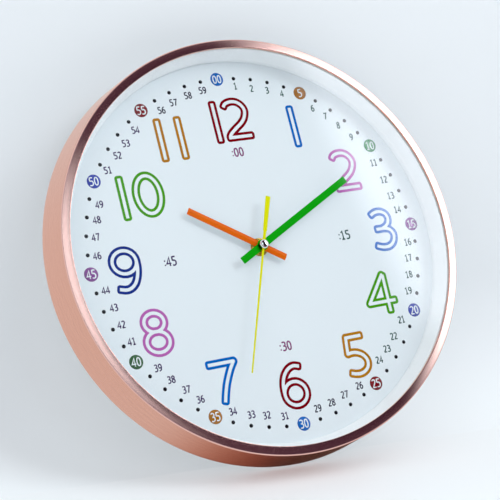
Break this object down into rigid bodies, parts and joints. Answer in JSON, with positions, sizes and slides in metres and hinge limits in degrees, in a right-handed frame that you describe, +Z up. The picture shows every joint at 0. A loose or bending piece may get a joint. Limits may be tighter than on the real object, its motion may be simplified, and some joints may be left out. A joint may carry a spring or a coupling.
{
  "type": "teaching wall clock",
  "caption": "Round wall clock with a rose metal case, glass front, coloured teaching dial, hour, minute and second hands, and a battery quartz movement with a setting knob.",
  "frame": {"origin": "seat of the nail in the keyhole of the hanger plate, on the wall plane", "axes": "+Z up towards 12, +X to the right as the dial is read, +Y into the wall, so the dial faces -Y"},
  "size_m": [0.3004, 0.038, 0.3004],
  "materials": {
    "rose_metal": "brushed face, satin rose side wall",
    "gasket_rubber": "soft black",
    "clear_glass": "polished",
    "white_plastic": "moulded satin",
    "dial_face": "printed satin",
    "zinc_steel": "zinc plated",
    "black_plastic": "spark eroded texture",
    "gear_plastic": "moulded acetal",
    "brass": "turned",
    "battery_sleeve": "printed sleeve",
    "board_green": "solder mask",
    "copper_wire": "enamelled",
    "knob_plastic": "moulded",
    "magnet": "sintered",
    "hand_orange": "painted",
    "hand_green": "painted",
    "hand_yellow": "painted",
    "chrome_cap": "polished"
  },
  "bodies": {
    "case": {"case_ring": "rose_metal", "lens_gasket": "gasket_rubber", "glass_lens": "clear_glass", "inner_ring": "white_plastic", "dial_plate": "dial_face", "back_cover": "white_plastic", "retaining_clip_1": "zinc_steel", "retaining_clip_2": "zinc_steel", "retaining_clip_3": "zinc_steel", "retaining_clip_4": "zinc_steel", "clip_screw_1": "zinc_steel", "clip_screw_2": "zinc_steel", "clip_screw_3": "zinc_steel", "clip_screw_4": "zinc_steel", "hanger_plate": "zinc_steel", "hanger_screw_1": "zinc_steel", "hanger_screw_2": "zinc_steel", "movement_base": "black_plastic", "movement_cover": "black_plastic", "train_plate": "gear_plastic", "threaded_bushing": "brass", "rubber_washer": "gasket_rubber", "brass_washer": "brass", "brass_nut": "brass", "battery": "battery_sleeve", "battery_contact_plus": "zinc_steel", "battery_contact_minus": "zinc_steel", "circuit_board": "board_green", "control_chip": "black_plastic", "quartz_crystal": "zinc_steel", "stator": "zinc_steel", "coil_core": "zinc_steel", "coil_bobbin": "gear_plastic", "coil_winding": "copper_wire"},
    "minute_hand": {"minute_hand": "hand_green", "cannon_pinion": "brass"},
    "hour_hand": {"hour_hand": "hand_orange", "hour_wheel": "gear_plastic"},
    "minute_wheel": {"minute_wheel": "gear_plastic"},
    "set_knob": {"set_knob": "knob_plastic"},
    "second_hand": {"second_hand": "hand_yellow", "hand_cap": "chrome_cap", "second_wheel": "gear_plastic"},
    "third_wheel": {"third_wheel": "gear_plastic"},
    "centre_wheel": {"centre_wheel": "gear_plastic"},
    "step_wheel": {"step_wheel": "gear_plastic"},
    "rotor": {"rotor": "magnet"}
  },
  "joints": [
    {"name": "minute_hand_turn", "type": "hinge", "parent": "case", "child": "minute_hand", "pos_m": [0, 0, -0.088], "axis": [0, 1, 0], "continuous": true},
    {"name": "hour_hand_turn", "type": "hinge", "parent": "case", "child": "hour_hand", "pos_m": [0, 0, -0.088], "axis": [0, 1, 0], "continuous": true},
    {"name": "minute_wheel_turn", "type": "hinge", "parent": "case", "child": "minute_wheel", "pos_m": [0.0108, 0, -0.088], "axis": [0, 1, 0], "continuous": true},
    {"name": "set_knob_turn", "type": "hinge", "parent": "case", "child": "set_knob", "pos_m": [0.01878, 0, -0.07849], "axis": [0, 1, 0], "continuous": true},
    {"name": "second_hand_turn", "type": "hinge", "parent": "case", "child": "second_hand", "pos_m": [0, 0, -0.088], "axis": [0, 1, 0], "continuous": true},
    {"name": "step_wheel_turn", "type": "hinge", "parent": "case", "child": "step_wheel", "pos_m": [0.00869, 0, -0.08567], "axis": [0, 1, 0], "continuous": true},
    {"name": "rotor_turn", "type": "hinge", "parent": "case", "child": "rotor", "pos_m": [0.0057, 0, -0.07745], "axis": [0, 1, 0], "continuous": true},
    {"name": "third_wheel_turn", "type": "hinge", "parent": "case", "child": "third_wheel", "pos_m": [-0.00735, 0, -0.08375], "axis": [0, 1, 0], "continuous": true},
    {"name": "centre_wheel_turn", "type": "hinge", "parent": "case", "child": "centre_wheel", "pos_m": [0, 0, -0.088], "axis": [0, 1, 0], "continuous": true}
  ],
  "couplings": [
    {"joint": "hour_hand_turn", "follows": "minute_hand_turn", "ratio": 0.083333},
    {"joint": "minute_wheel_turn", "follows": "minute_hand_turn", "ratio": -0.33333},
    {"joint": "set_knob_turn", "follows": "minute_hand_turn", "ratio": 0.625},
    {"joint": "step_wheel_turn", "follows": "second_hand_turn", "ratio": -5},
    {"joint": "rotor_turn", "follows": "second_hand_turn", "ratio": 30},
    {"joint": "third_wheel_turn", "follows": "second_hand_turn", "ratio": -0.125},
    {"joint": "centre_wheel_turn", "follows": "second_hand_turn", "ratio": 0.016667}
  ]
}
